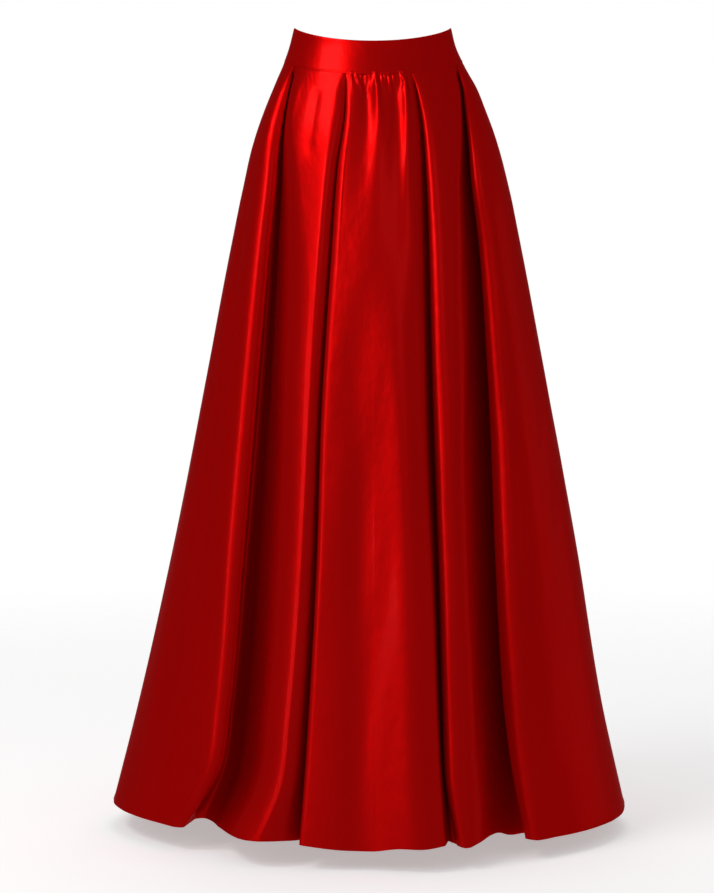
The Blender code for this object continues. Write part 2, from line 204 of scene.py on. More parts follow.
@dataclass(frozen=True)
class Tuck:
    """How pleats turn under: rows with a value for each level, then values that hold at all of them.

    Attributes:
        back: how far the root lies behind the crease.
        depth: how far the root lies inward.
        radius: the radius of the turn under the crease.
        roll: how wide the rolled edge of the crease is.
        straightness: how straight the lower cloth comes out, from 0, an S curve, to 1, a line.
        arch_from: the share of the way out at which an arched slope begins to bend over.
        pressed_depth: the share of its depth to which the band presses a pleat.
        pressed_for: how far below the seam a pleat takes to reach its full depth.
        widest_turn: the widest turn under the crease, as a share of the depth.
        root: the root's radius, as a share of the depth.
        deepest_fall: how far in a rolled edge may fall, as a share of the depth.
        past_root: how far past the root the slope begins, in radii of the root.
        least_slope: the least length of the slope.
        arched_below: the drop at which arched slopes begin.
        arched_over: how much further down they are fully arched.
        arch_soft: how softly an arched slope starts.
    """

    back: Row = (0.0140, 0.0125, 0.0110, 0.0080, 0.0062, 0.0044, 0.0028, 0.0018, 0.0010, -0.0060)
    depth: Row = (0.0050, 0.0100, 0.0150, 0.0250, 0.0340, 0.0420, 0.0460, 0.0480, 0.0490, 0.0520)
    radius: Row = (0.0009, 0.0010, 0.0012, 0.0016, 0.0020, 0.0026, 0.0030, 0.0030, 0.0028, 0.0022)
    roll: Row = (0.0040, 0.0076, 0.0105, 0.0145, 0.0160, 0.0160, 0.0150, 0.0140, 0.0120, 0.0080)
    straightness: Row = (0.0, 0.0, 0.0, 0.0, 0.06, 0.14, 0.24, 0.38, 0.50, 0.85)
    arch_from: Row = (0.62, 0.62, 0.62, 0.62, 0.64, 0.70, 0.80, 0.82, 0.82, 0.80)
    pressed_depth: float = 0.22
    pressed_for: float = 0.022
    widest_turn: float = 0.22
    root: float = 0.13
    deepest_fall: float = 0.58
    past_root: float = 1.5
    least_slope: float = 2 * MM
    arched_below: float = 0.14
    arched_over: float = 0.12
    arch_soft: float = 0.20


@dataclass(frozen=True)
class Pleat:
    """One pleat, with its angles at each level.

    Attributes:
        name: what the log calls it.
        over: which panel lies on top.
        crease: its crease's angles.
        shoulder: the angles at which the lower cloth is out again.
        deep: its depth, as a share of the usual.
        inset: how far in the crease lies at the hem.
        soft: how wide the rolled crease is, as a share of the usual.
        full: how far in the rolled crease falls, as a share of its width.
        early: a power that brings the lower cloth out sooner, below 1, or later, above 1.
        arched: 1 where the lower cloth comes straight out and bends over.
        under: how much further behind the crease the root lies, as a share of the depth.
    """

    name: str
    over: Over
    crease: Row
    shoulder: Row
    deep: float = 1.0
    inset: float = 0.012
    soft: float = 1.0
    full: float = 0.6
    early: float = 1.0
    arched: float = 0.0
    under: float = 0.0


@dataclass(frozen=True)
class SoftFold:
    """A soft ridge down a panel, or a trough where its height is negative.

    Its top and foot are an angle and a drop, its width is a half width, its bow is in degrees, and each end
    fades over a share of its length.
    """

    top: Pair
    foot: Pair
    height: float
    width: float
    bow: float = 0.0
    fade: float = 0.2


@dataclass(frozen=True)
class Gather:
    """A gather under the band, or a valley where its height is negative.

    Attributes:
        place: its place across the gathered stretch, from 0 to 1.
        height: how far it stands out.
        width: its half width.
        length: how far down it runs.
        lean: how far it leans aside for each metre down.
        leans_for: how far below the seam it leans.
        narrowed: its width at the seam, as a share of the width; it widens by its width for each length.
        most_lengths: after how many lengths it widens no more.
        first_rise: its height at the seam, as a share of the height.
        rises_over: the share of its length in which it reaches its height.
        fade_power: how suddenly it fades at its length.
    """

    place: float
    height: float
    width: float
    length: float
    lean: float = 0.0
    leans_for: float = 0.03
    narrowed: float = 0.55
    most_lengths: float = 1.5
    first_rise: float = 0.30
    rises_over: float = 0.22
    fade_power: float = 1.4

    def relief(self, across: np.ndarray, width: np.ndarray, below: np.ndarray) -> np.ndarray:
        """Finds its height out of the cloth.

        Args:
            across: how far across the gathered stretch each point lies.
            width: how wide that stretch is at each row.
            below: how far each point lies below the seam.

        Returns:
            Its heights.
        """
        centre = self.place * width + self.lean * np.minimum(below, self.leans_for)
        spread = self.width * (self.narrowed + np.minimum(below / self.length, self.most_lengths))
        away = (across - centre) / spread
        risen = eased(np.clip(below / (self.rises_over * self.length), 0, 1))
        rise = self.first_rise + (1 - self.first_rise) * risen
        fall = np.exp(-((below / self.length) ** self.fade_power))
        return self.height * rise * fall * np.exp(-away * away)


FRONT_PLEATS = (
    Pleat(
        "left_side",
        Over.BEFORE,
        crease=(-60.0, -64.0, -63.0, -57.4, -53.2, -48.8, -44.3, -41.4, -41.8, -50.5),
        shoulder=(-52.0, -50.5, -47.0, -36.0, -26.2, -23.4, -21.2, -21.2, -21.7, -26.0),
        deep=1.35,
        inset=0.024,
        soft=1.5,
        full=0.80,
        arched=1.0,
        under=0.75,
    ),
    Pleat(
        "left_centre",
        Over.AFTER,
        crease=(-17.0, -15.2, -14.4, -16.2, -16.8, -17.4, -16.2, -16.0, -16.0, -16.1),
        shoulder=(-19.0, -21.4, -21.6, -22.4, -22.6, -21.7, -20.2, -20.1, -20.6, -24.8),
        deep=0.85,
        soft=0.7,
        full=0.55,
        early=0.40,
        under=0.20,
    ),
    Pleat(
        "right_centre",
        Over.AFTER,
        crease=(23.3, 24.7, 25.4, 24.4, 22.8, 20.6, 18.8, 17.8, 17.4, 18.8),
        shoulder=(21.5, 20.4, 19.6, 17.6, 16.2, 14.8, 14.4, 14.4, 14.6, 15.0),
        deep=0.64,
        inset=0.0,
        soft=1.2,
        full=1.2,
        under=0.35,
    ),
    Pleat(
        "right_side",
        Over.AFTER,
        crease=(67.0, 66.0, 61.0, 53.0, 51.2, 46.8, 40.4, 38.6, 38.3, 38.5),
        shoulder=(59.0, 55.0, 50.0, 38.6, 31.6, 26.4, 22.8, 22.0, 21.4, 21.2),
        soft=1.3,
        full=1.5,
        early=1.6,
        under=0.75,
    ),
)
LEFT_BACK_PLEATS = (
    Pleat(
        "left_back_side",
        Over.BEFORE,
        crease=(-114.0, -116.2, -118.0, -122.0, -124.6, -127.4, -130.6, -132.6, -133.0, -131.0),
        shoulder=(-122.0, -125.4, -128.0, -135.0, -138.4, -141.2, -143.4, -144.6, -145.0, -146.0),
        deep=1.10,
        soft=1.4,
    ),
    Pleat(
        "left_back_centre",
        Over.BEFORE,
        crease=(-150.0, -150.4, -151.0, -152.0, -153.2, -154.8, -156.4, -157.6, -158.0, -156.0),
        shoulder=(-156.0, -157.0, -158.0, -160.0, -161.2, -163.0, -165.4, -166.6, -167.0, -167.0),
        deep=0.90,
        inset=0.010,
    ),
)
RIGHT_BACK_PLEATS = (
    Pleat(
        "right_back_side",
        Over.BEFORE,
        crease=(115.0, 116.0, 117.0, 120.0, 122.4, 125.8, 129.3, 130.8, 131.0, 129.0),
        shoulder=(123.0, 125.0, 127.0, 132.0, 135.8, 139.4, 142.2, 142.9, 143.0, 142.0),
        deep=1.15,
        soft=1.5,
    ),
    Pleat(
        "right_back_centre",
        Over.BEFORE,
        crease=(149.0, 150.0, 151.0, 153.0, 153.6, 154.4, 155.2, 155.8, 156.0, 154.0),
        shoulder=(156.0, 157.0, 158.0, 161.0, 162.2, 163.4, 164.2, 164.8, 165.0, 165.0),
        deep=0.95,
        inset=0.010,
        soft=1.1,
    ),
)

FRONT_FOLDS = (
    SoftFold((-5.0, 0.26), (-5.2, 1.40), -0.0046, 0.030, 0.0, 0.25),
    SoftFold((9.2, 0.26), (8.8, 1.40), 0.0056, 0.021, -0.3, 0.25),
    SoftFold((-4.0, 0.50), (0.2, 1.50), -0.0078, 0.034, 0.0, 0.35),
    SoftFold((10.8, 0.50), (12.6, 1.50), 0.0050, 0.024, 0.0, 0.35),
    SoftFold((-9.0, 0.52), (-8.4, 1.12), 0.0014, 0.016, 0.4),
    SoftFold((-32.6, 0.08), (-31.0, 0.19), -0.0010, 0.008),
    SoftFold((-47.0, 0.07), (-44.0, 0.20), 0.0008, 0.005, -0.8),
    SoftFold((-45.0, 0.26), (-38.5, 0.90), 0.0010, 0.006, 0.4),
    SoftFold((-72.0, 0.15), (-54.5, 0.80), -0.0013, 0.007, -1.2),
    SoftFold((-58.5, 0.55), (-53.0, 1.06), 0.0012, 0.008),
    SoftFold((-76.0, 0.30), (-70.0, 1.10), 0.0022, 0.034),
    SoftFold((33.0, 0.12), (27.5, 0.62), 0.0006, 0.012, 0.5),
    SoftFold((27.4, 0.36), (22.6, 1.10), 0.0006, 0.011),
    SoftFold((17.4, 0.30), (14.2, 1.08), 0.0008, 0.008),
    SoftFold((53.0, 0.20), (43.0, 1.00), -0.0016, 0.007, 0.6),
    SoftFold((58.0, 0.28), (47.5, 1.08), 0.0014, 0.010, 0.8),
    SoftFold((72.0, 0.25), (62.0, 1.10), -0.0018, 0.030),
)
LEFT_BACK_FOLDS = (
    SoftFold((-101.0, 0.16), (-108.0, 1.08), -0.0022, 0.022),
    SoftFold((-109.0, 0.30), (-120.0, 0.90), 0.0016, 0.012, 0.8),
    SoftFold((-142.0, 0.14), (-149.5, 1.02), 0.0020, 0.014, 0.5),
    SoftFold((-170.0, 0.34), (-172.5, 1.10), -0.0030, 0.020),
)
RIGHT_BACK_FOLDS = (
    SoftFold((100.0, 0.20), (110.0, 1.10), 0.0022, 0.024),
    SoftFold((108.0, 0.14), (118.0, 0.80), -0.0015, 0.011, 0.7),
    SoftFold((140.0, 0.18), (147.0, 1.06), -0.0020, 0.013, 0.4),
    SoftFold((169.0, 0.30), (173.0, 1.06), 0.0024, 0.018),
)

GATHERS = (
    Gather(0.05, 0.0016, 0.0022, 0.016),
    Gather(0.13, 0.0020, 0.0026, 0.020, 0.3),
    Gather(0.21, 0.0012, 0.0018, 0.012),
    Gather(0.30, 0.0016, 0.0024, 0.020, -0.2),
    Gather(0.455, 0.0048, 0.0050, 0.080),
    Gather(0.55, 0.0018, 0.0020, 0.018),
    Gather(0.60, 0.0012, 0.0016, 0.014),
    Gather(0.66, 0.0022, 0.0026, 0.030, 0.1),
    Gather(0.74, 0.0016, 0.0018, 0.016),
    Gather(0.855, 0.0018, 0.0020, 0.030, 0.30),
    Gather(0.905, 0.0066, 0.0058, 0.160),
    Gather(0.965, 0.0016, 0.0020, 0.030, -0.4),
    Gather(0.26, -0.0056, 0.0110, 0.120),
    Gather(0.73, -0.0032, 0.0090, 0.160),
)

# How many millimetres the hem hangs short of its lowest level, at angles round the front
HEM_RISES = (
    (-90.0, 6.0), (-60.0, 4.8), (-46.0, 5.0), (-38.0, 8.0), (-30.0, 7.5), (-20.0, 6.8), (-14.8, 3.5),
    (-8.0, 0.2), (0.0, 0.0), (5.0, 3.0), (11.0, 1.6), (14.6, 4.8), (17.0, 8.0), (19.6, 1.4), (23.0, 3.4),
    (28.0, 8.0), (34.0, 6.0), (37.8, -0.6), (46.0, -2.0), (62.0, -2.6), (80.0, -2.2), (90.0, 0.0),
)
# How many degrees behind the side seams the hem is level, and the power by which its rise comes on
HEM_LEVELS_OVER = 30.0
HEM_RISE_POWER = 9


def hem_rise(degrees: np.ndarray) -> np.ndarray:
    """Finds how far the hem hangs short of its lowest level; the back hangs level.

    Args:
        degrees: angles round the figure.

    Returns:
        Heights above the lowest level.
    """
    behind = np.clip((np.abs(degrees) - SIDE_SEAM) / HEM_LEVELS_OVER, 0, 1)
    angles, rises = zip(*HEM_RISES)
    return through(degrees, angles, rises) * MM * (1 - eased(behind))


def new_material(name: str) -> tuple[Material, NodeTree, Node]:
    """Starts a material.

    Args:
        name: its name.

    Returns:
        The material, its node tree and its Principled shader.
    """
    made = bpy.data.materials.new(name)
    made.use_nodes = True
    return made, made.node_tree, made.node_tree.nodes["Principled BSDF"]


def set_inputs(node: Node, values: dict[str, object]) -> None:
    """Sets a node's inputs.

    Args:
        node: the node.
        values: each input's value, by the input's name.
    """
    for name, value in values.items():
        node.inputs[name].default_value = value


def add_node(tree: NodeTree, kind: str, values: dict[str, object] | None = None, **settings: object) -> Node:
    """Adds a shader node.

    Args:
        tree: the node tree.
        kind: the node's type, without the ShaderNode in front.
        values: each input's value, by the input's name.
        settings: the node's own settings.

    Returns:
        The node.
    """
    node = tree.nodes.new("ShaderNode" + kind)
    for name, value in settings.items():
        setattr(node, name, value)
    set_inputs(node, values or {})
    return node


def link(source: Node, output: str, target: Node, entry: str | int) -> None:
    """Links one node's output to another's input, in the tree that holds both."""
    source.id_data.links.new(source.outputs[output], target.inputs[entry])


@dataclass(frozen=True)
class Satin:
    """The skirt's cloth: glossy red satin."""

    name: str = "red_satin"
    colour: Colour = (0.64, 0.002, 0.002, 1.0)
    deep_colour: Colour = (0.56, 0.0015, 0.0015, 1.0)
    tint: Colour = (0.62, 0.0, 0.0, 1.0)
    roughness: float = 0.31
    metallic: float = 0.80
    gloss: float = 0.035
    gloss_roughness: float = 0.12
    grain_per_metre: float = 620.0
    blotch_per_metre: float = 62.0

    def material(self) -> Material:
        """Builds the cloth's material, whose weave follows each piece's own cloth coordinates.

        Returns:
            The material.
        """
        made, tree, shader = new_material(self.name)
        coordinates = add_node(tree, "UVMap", uv_map="cloth")
        weave = add_node(tree, "Group", node_tree=satin_weave_group())
        given = {
            "Grain per Metre": self.grain_per_metre,
            "Blotch per Metre": self.blotch_per_metre,
            "Roughness": self.roughness,
            "Colour": self.colour,
            "Deep Colour": self.deep_colour,
        }
        set_inputs(weave, given)
        link(coordinates, "UV", weave, "Cloth")
        link(weave, "Colour", shader, "Base Color")
        link(weave, "Roughness", shader, "Roughness")
        link(weave, "Normal", shader, "Normal")
        gloss = {
            "Metallic": self.metallic,
            "Specular IOR Level": 0.0,
            "Specular Tint": self.tint,
            "Coat Weight": self.gloss,
            "Coat Roughness": self.gloss_roughness,
        }
        set_inputs(shader, gloss)
        return made


@dataclass(frozen=True)
class TapeCloth:
    """The zip's woven tape."""

    name: str = "red_tape"
    colour: Colour = (0.36, 0.003, 0.006, 1.0)
    roughness: float = 0.78
    rib_scale: float = 260.0
    rib_height: float = 0.08 * MM

    def material(self) -> Material:
        """Builds the tape's material, with its woven ribs.

        Returns:
            The material.
        """
        made, tree, shader = new_material(self.name)
        coordinates = add_node(tree, "TexCoord")
        ribs = add_node(tree, "TexWave", {"Scale": self.rib_scale, "Distortion": 0.6}, bands_direction="Z")
        bump = add_node(tree, "Bump", {"Distance": self.rib_height})
        link(coordinates, "Object", ribs, "Vector")
        link(ribs, "Fac", bump, "Height")
        link(bump, "Normal", shader, "Normal")
        set_inputs(shader, {"Base Color": self.colour, "Roughness": self.roughness})
        return made


@dataclass(frozen=True)
class Lacquer:
    """The red lacquer on the zip's slider, pull and coil."""

    name: str = "red_lacquer"
    colour: Colour = (0.50, 0.002, 0.003, 1.0)
    tint: Colour = (0.9, 0.25, 0.25, 1.0)
    metallic: float = 0.7
    specular: float = 0.25
    smoothest: float = 0.24
    roughest: float = 0.40
    mottle_scale: float = 420.0

    def material(self) -> Material:
        """Builds the lacquer's material, a little mottled.

        Returns:
            The material.
        """
        made, tree, shader = new_material(self.name)
        coordinates = add_node(tree, "TexCoord")
        mottle = add_node(tree, "TexNoise", {"Scale": self.mottle_scale})
        spread = add_node(tree, "MapRange", {"To Min": self.smoothest, "To Max": self.roughest})
        link(coordinates, "Object", mottle, "Vector")
        link(mottle, "Fac", spread, "Value")
        link(spread, "Result", shader, "Roughness")
        finish = {
            "Base Color": self.colour,
            "Metallic": self.metallic,
            "Specular IOR Level": self.specular,
            "Specular Tint": self.tint,
        }
        set_inputs(shader, finish)
        return made


def satin_weave_group() -> NodeTree:
    """Builds the satin's weave: its colour, its roughness and the normal of its grain and blotches.

    Returns:
        The node group.
    """
    group = bpy.data.node_groups.new("satin_weave", "ShaderNodeTree")
    sockets = (
        ("Cloth", "INPUT", "NodeSocketVector"),
        ("Grain per Metre", "INPUT", "NodeSocketFloat"),
        ("Blotch per Metre", "INPUT", "NodeSocketFloat"),
        ("Roughness", "INPUT", "NodeSocketFloat"),
        ("Colour", "INPUT", "NodeSocketColor"),
        ("Deep Colour", "INPUT", "NodeSocketColor"),
        ("Colour", "OUTPUT", "NodeSocketColor"),
        ("Roughness", "OUTPUT", "NodeSocketFloat"),
        ("Normal", "OUTPUT", "NodeSocketVector"),
    )
    for socket, in_out, kind in sockets:
        group.interface.new_socket(name=socket, in_out=in_out, socket_type=kind)
    given = group.nodes.new("NodeGroupInput")
    result = group.nodes.new("NodeGroupOutput")

    def noise(per_metre: str, stretch: Triple, detail: float) -> Node:
        """Adds noise in cloth coordinates.

        Args:
            per_metre: the group's input that gives its scale.
            stretch: how much finer it is along each axis.
            detail: its detail.

        Returns:
            The noise.
        """
        mapping = add_node(group, "Mapping", {"Scale": stretch})
        texture = add_node(group, "TexNoise", {"Detail": detail})
        link(given, "Cloth", mapping, "Vector")
        link(mapping, "Vector", texture, "Vector")
        link(given, per_metre, texture, "Scale")
        return texture

    grain = noise("Grain per Metre", (1.0, 0.55, 1.0), 3.0)
    blotch = noise("Blotch per Metre", (1.0, 0.6, 1.0), 2.0)
    broad = noise("Blotch per Metre", (0.16, 0.05, 0.1), 1.0)

    tint = add_node(group, "Mix", data_type="RGBA")
    link(broad, "Fac", tint, "Factor")
    link(given, "Colour", tint, "A")
    link(given, "Deep Colour", tint, "B")
    link(tint, "Result", result, "Colour")

    roughness_wander = 0.08
    wander = add_node(group, "Math", operation="MULTIPLY_ADD")
    wander.inputs[1].default_value = roughness_wander
    link(blotch, "Fac", wander, 0)
    link(given, "Roughness", wander, 2)
    link(wander, "Value", result, "Roughness")

    wide = add_node(group, "Bump", {"Strength": 1.0, "Distance": 0.5 * MM})
    fine = add_node(group, "Bump", {"Strength": 1.0, "Distance": 0.09 * MM})
    link(blotch, "Fac", wide, "Height")
    link(grain, "Fac", fine, "Height")
    link(wide, "Normal", fine, "Normal")
    link(fine, "Normal", result, "Normal")
    return group


def linked(name: str, data: bpy.types.ID) -> Object:
    """Makes an object and links it to the scene.

    Args:
        name: its name.
        data: its mesh, light or camera.

    Returns:
        The object.
    """
    made = bpy.data.objects.new(name, data)
    bpy.context.scene.collection.objects.link(made)
    return made


def grid_normals(points: np.ndarray) -> np.ndarray:
    """Finds a grid's outward normals.

    Args:
        points: rows from the top down, each from left to right seen from outside.

    Returns:
        Unit normals of the same shape.
    """
    along = np.gradient(points, axis=1)
    down = np.gradient(points, axis=0)
    normals = np.cross(down, along)
    return normals / np.maximum(np.linalg.norm(normals, axis=2, keepdims=True), 1e-12)


def strips(first: np.ndarray, second: np.ndarray) -> np.ndarray:
    """Joins rows of point numbers to the rows beside them.

    Args:
        first: one row, or a grid of rows.
        second: the row or rows beside them.

    Returns:
        Faces of four point numbers.
    """
    around = [first[..., :-1], second[..., :-1], second[..., 1:], first[..., 1:]]
    return np.stack(around, axis=-1).reshape(-1, 4)


def cloth_piece(name: str, points: np.ndarray, faces: list[list[int]], places: np.ndarray) -> Object:
    """Makes a smooth piece whose coordinates for the weave are places on the flat cloth.

    Args:
        name: the piece's name.
        points: its points.
        faces: its faces' point numbers.
        places: each point's place on the flat cloth, in metres.

    Returns:
        The piece.
    """
    mesh = bpy.data.meshes.new(name)
    mesh.from_pydata(points.reshape(-1, 3).tolist(), [], faces)
    layer = mesh.uv_layers.new(name="cloth")
    corners = np.zeros(len(mesh.loops), np.int32)
    mesh.loops.foreach_get("vertex_index", corners)
    layer.data.foreach_set("uv", places.reshape(-1, 2)[corners].ravel())
    mesh.shade_smooth()
    mesh.set_sharp_from_angle(angle=math.radians(SHARP_FROM))
    return linked(name, mesh)


def closed_shell(name: str, middle: np.ndarray, outer: float, inner: float, places: np.ndarray) -> Object:
    """Makes a thin closed shell on a grid of points.

    Args:
        name: the piece's name.
        middle: the grid.
        outer: how far its outer face lies out of the grid.
        inner: how far its inner face lies in.
        places: each point's place on the flat cloth, in metres.

    Returns:
        The piece.
    """
    normals = grid_normals(middle)
    points = np.stack([middle + normals * outer, middle - normals * inner])
    front, back = np.arange(points[..., 0].size).reshape(points.shape[:3])
    # The inner face's points go round the other way
    faces = [strips(front[:-1], front[1:]), strips(back[:-1], back[1:])[:, [0, 3, 2, 1]]]
    # The left, lower, right and upper rims in turn
    for rim in (np.s_[:, 0], np.s_[-1, :], np.s_[::-1, -1], np.s_[0, ::-1]):
        faces.append(strips(front[rim], back[rim]))
    return cloth_piece(name, points, np.concatenate(faces).tolist(), np.stack([places, places]))


def cloth_places(points: np.ndarray, start: float) -> np.ndarray:
    """Unrolls a grid roughly flat: how far across and down the cloth each of its points lies.

    Args:
        points: the grid.
        start: a length that is added across, which keeps one piece's weave apart from another's.

    Returns:
        Places in metres, with two values in their last axis.
    """
    across = np.linalg.norm(np.diff(points, axis=1), axis=2)
    across = np.concatenate([np.zeros((len(points), 1)), np.cumsum(across, axis=1)], axis=1)
    across -= across[:, -1:] / 2
    down = np.linalg.norm(np.diff(points, axis=0), axis=2).mean(axis=1)
    down = np.concatenate([[0.0], np.cumsum(down)])
    return np.stack([across + start, np.broadcast_to(down[:, None], across.shape)], axis=-1)


# How much relief the points beside a panel's side edges take, from the edge inward
EDGE_FADE = (0.0, 0.25, 0.6, 0.9)


@dataclass
class SkirtPanel:
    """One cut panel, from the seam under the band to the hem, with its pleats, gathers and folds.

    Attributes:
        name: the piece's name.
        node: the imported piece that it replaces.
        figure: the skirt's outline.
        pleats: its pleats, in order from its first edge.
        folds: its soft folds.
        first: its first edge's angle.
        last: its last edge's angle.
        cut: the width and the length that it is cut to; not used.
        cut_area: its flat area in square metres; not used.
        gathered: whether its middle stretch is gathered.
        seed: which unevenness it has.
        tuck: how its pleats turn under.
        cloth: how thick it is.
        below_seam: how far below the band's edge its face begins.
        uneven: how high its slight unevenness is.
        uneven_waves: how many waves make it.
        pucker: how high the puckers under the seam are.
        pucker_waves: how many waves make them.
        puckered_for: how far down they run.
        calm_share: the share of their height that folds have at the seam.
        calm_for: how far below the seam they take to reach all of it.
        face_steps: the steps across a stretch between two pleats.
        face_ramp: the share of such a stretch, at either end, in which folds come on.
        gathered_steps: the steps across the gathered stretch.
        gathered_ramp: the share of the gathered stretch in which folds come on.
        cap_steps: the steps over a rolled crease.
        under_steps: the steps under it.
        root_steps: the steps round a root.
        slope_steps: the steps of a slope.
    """

    name: str
    node: str
    figure: Figure
    pleats: tuple[Pleat, ...]
    folds: tuple[SoftFold, ...]
    first: float
    last: float
    cut: Pair
    cut_area: float
    gathered: bool = False
    seed: int = 1
    tuck: Tuck = Tuck()
    cloth: float = 0.6 * MM
    below_seam: float = 0.3 * MM
    uneven: float = 0.16 * MM
    uneven_waves: int = 12
    pucker: float = 0.10 * MM
    pucker_waves: int = 7
    puckered_for: float = 0.012
    calm_share: float = 0.25
    calm_for: float = 0.02
    face_steps: int = 21
    face_ramp: float = 0.42
    gathered_steps: int = 104
    gathered_ramp: float = 0.12
    cap_steps: int = 9
    under_steps: int = 3
    root_steps: int = 4
    slope_steps: int = 14

    def depth_of(self, pleat: Pleat, drop: float) -> float:
        """Finds how far in a pleat's root lies, less near the band, which presses it flat.

        Args:
            pleat: the pleat.
            drop: the row's drop.

        Returns:
            The depth.
        """
        tuck = self.tuck
        depth = max(at_level(tuck.depth, drop) * pleat.deep, tuck.depth[0])
        free = min(max((drop - self.figure.band_height - self.figure.seam_dip) / tuck.pressed_for, 0.0), 1.0)
        return depth * (tuck.pressed_depth + (1 - tuck.pressed_depth) * eased(free))

    def plan_of_pleat(self, pleat: Pleat, drop: float) -> list[Triple]:
        """Lays out one pleat at a drop.

        Args:
            pleat: the pleat.
            drop: the row's drop.

        Returns:
            For each point its degrees, its distance inward, and how much of the folds it takes.
        """
        tuck = self.tuck
        crease, shoulder = at_level(pleat.crease, drop), at_level(pleat.shoulder, drop)
        per_metre = float(self.figure.degrees_per_metre(crease, drop))
        depth = self.depth_of(pleat, drop)
        back = at_level(tuck.back, drop) + pleat.under * depth
        radius = min(at_level(tuck.radius, drop), depth * tuck.widest_turn)
        root = max(radius, tuck.root * depth)
        roll = max(at_level(tuck.roll, drop) * pleat.soft, radius)
        fall = max(min(tuck.deepest_fall * depth, pleat.full * roll), radius)
        emerge = max(2 * radius - pleat.under * depth, tuck.past_root * root - back)
        reach = max(abs(shoulder - crease) / per_metre, emerge + tuck.least_slope)
        inset = pleat.inset * (drop / HEM_DROP) ** 2
        side = 1.0 if shoulder > crease else -1.0
        placed = []
        path = self.tucked_path(back, depth, radius, root, roll, fall)
        for along, inward, takes in path + self.slope_path(pleat, drop, depth, emerge, reach):
            moved = inset * (1 - eased(min(max(along / reach, 0.0), 1.0)))
            placed.append((crease + side * along * per_metre, inward + moved, takes))
        return placed if pleat.over is Over.BEFORE else placed[::-1]

    def tucked_path(
        self, back: float, depth: float, radius: float, root: float, roll: float, fall: float
    ) -> list[Triple]:
        """Goes over a rolled crease, under it and round the root.

        Args:
            back: how far the root lies behind the crease.
            depth: how far in it lies.
            radius: the radius of the turn under the crease.
            root: the root's radius.
            roll: how wide the rolled edge is.
            fall: how far in the rolled edge falls.

        Returns:
            For each point its metres from the crease towards the shoulder, its metres inward, and how much of
            the folds it takes.
        """
        run_along, run_in = radius + root - back, depth - root - fall
        straight = math.sqrt(max(run_along**2 + run_in**2 - (radius + root) ** 2, 0.0))
        turn = math.atan2(run_in, run_along) + math.atan2(radius + root, straight)
        quarter = min(math.pi / 2, turn)
        path = []
        for k in range(self.cap_steps + 1):
            beta = quarter * k / self.cap_steps
            takes = 1 - eased(k / self.cap_steps)
            path.append((roll * (math.sin(beta) - 1), fall * (1 - math.cos(beta)), takes))
        for k in range(1, self.under_steps + 1):
            beta = quarter + (turn - quarter) * k / self.under_steps
            path.append((radius * (math.sin(beta) - 1), fall - radius * math.cos(beta), 0.0))
        for k in range(self.root_steps, -1, -1):
            beta = turn * k / self.root_steps
            path.append((root * (1 - math.sin(beta)) - back, depth - root * (1 - math.cos(beta)), 0.0))
        return path

    def slope_path(
        self, pleat: Pleat, drop: float, depth: float, emerge: float, reach: float
    ) -> list[Triple]:
        """Brings the lower cloth out from the root to the shoulder.

        Args:
            pleat: the pleat.
            drop: the row's drop.
            depth: how far in the root lies.
            emerge: where along the slope begins.
            reach: where it ends.

        Returns:
            Points in tucked_path's form.
        """
        tuck = self.tuck
        straightness, bends = at_level(tuck.straightness, drop), at_level(tuck.arch_from, drop)
        arched = pleat.arched * float(np.clip((drop - tuck.arched_below) / tuck.arched_over, 0, 1))
        path = []
        for k in range(self.slope_steps + 1):
            share = k / self.slope_steps
            early = share**pleat.early
            risen = eased(early) + (early - eased(early)) * straightness
            risen += (self.arched_rise(share, bends) - risen) * arched
            path.append((emerge + (reach - emerge) * share, depth * (1 - risen), eased(share)))
        return path

    def arched_rise(self, share: float, bends: float) -> float:
        """Rises in a straight line from a softened start, then bends over to level.

        Args:
            share: how far along the slope, from 0 to 1.
            bends: the share at which it begins to bend over.

        Returns:
            The share of the rise.
        """
        soft = self.tuck.arch_soft
        along = (math.hypot(share, soft) - soft) / (math.hypot(1.0, soft) - soft)
        steep = 2 / (1 + bends)
        past = max(along - bends, 0.0)
        return steep * (along - past * past / (2 * (1 - bends)))

    def plan(self, drop: float) -> tuple[np.ndarray, ...]:
        """Lays out the whole panel at a drop, edge to edge.

        Args:
            drop: the row's drop.

        Returns:
            Degrees, inward distances, how much of the folds each point takes, and shares across the gathered
            stretch, which are -1 elsewhere.
        """
        pleats = [self.plan_of_pleat(pleat, drop) for pleat in self.pleats]
        path = [(self.first, 0.0, 1.0, -1.0)]
        for k, fold in enumerate(pleats + [[(self.last, 0.0, 1.0)]]):
            middle = self.gathered and k == len(pleats) // 2
            steps = self.gathered_steps if middle else self.face_steps
            ramp = self.gathered_ramp if middle else self.face_ramp
            start, end = path[-1], fold[0]
            for i in range(1, steps):
                share = i / steps
                takes = eased(min(min(share, 1 - share) / ramp, 1.0)) if 0 < k < len(pleats) else 1.0
                takes = max(takes, start[2] if share < 0.5 else end[2])
                degrees = start[0] + (end[0] - start[0]) * share
                inward = start[1] + (end[1] - start[1]) * eased(share)
                path.append((degrees, inward, takes, share if middle else -1.0))
            path += [(*point, -1.0) for point in fold]
        return tuple(np.array(path).T)

    def row_shares(self) -> np.ndarray:
        """Spaces the rows: close under the band and at the hem, wider between.

        Returns:
            Shares of the way from the seam to the hem.
        """
        at_seam, at_hem, least, widest = 1.3 * MM, 2 * MM, 3 * MM, 11 * MM
        from_seam, from_hem = 0.06, 0.07
        length = HEM_DROP - self.figure.band_height
        places, at = [0.0], 0.0
        while at < length:
            at += min(at_seam + from_seam * at, widest, max(at_hem + from_hem * (length - at), least))
            places.append(at)
        return np.array(places) / places[-1]

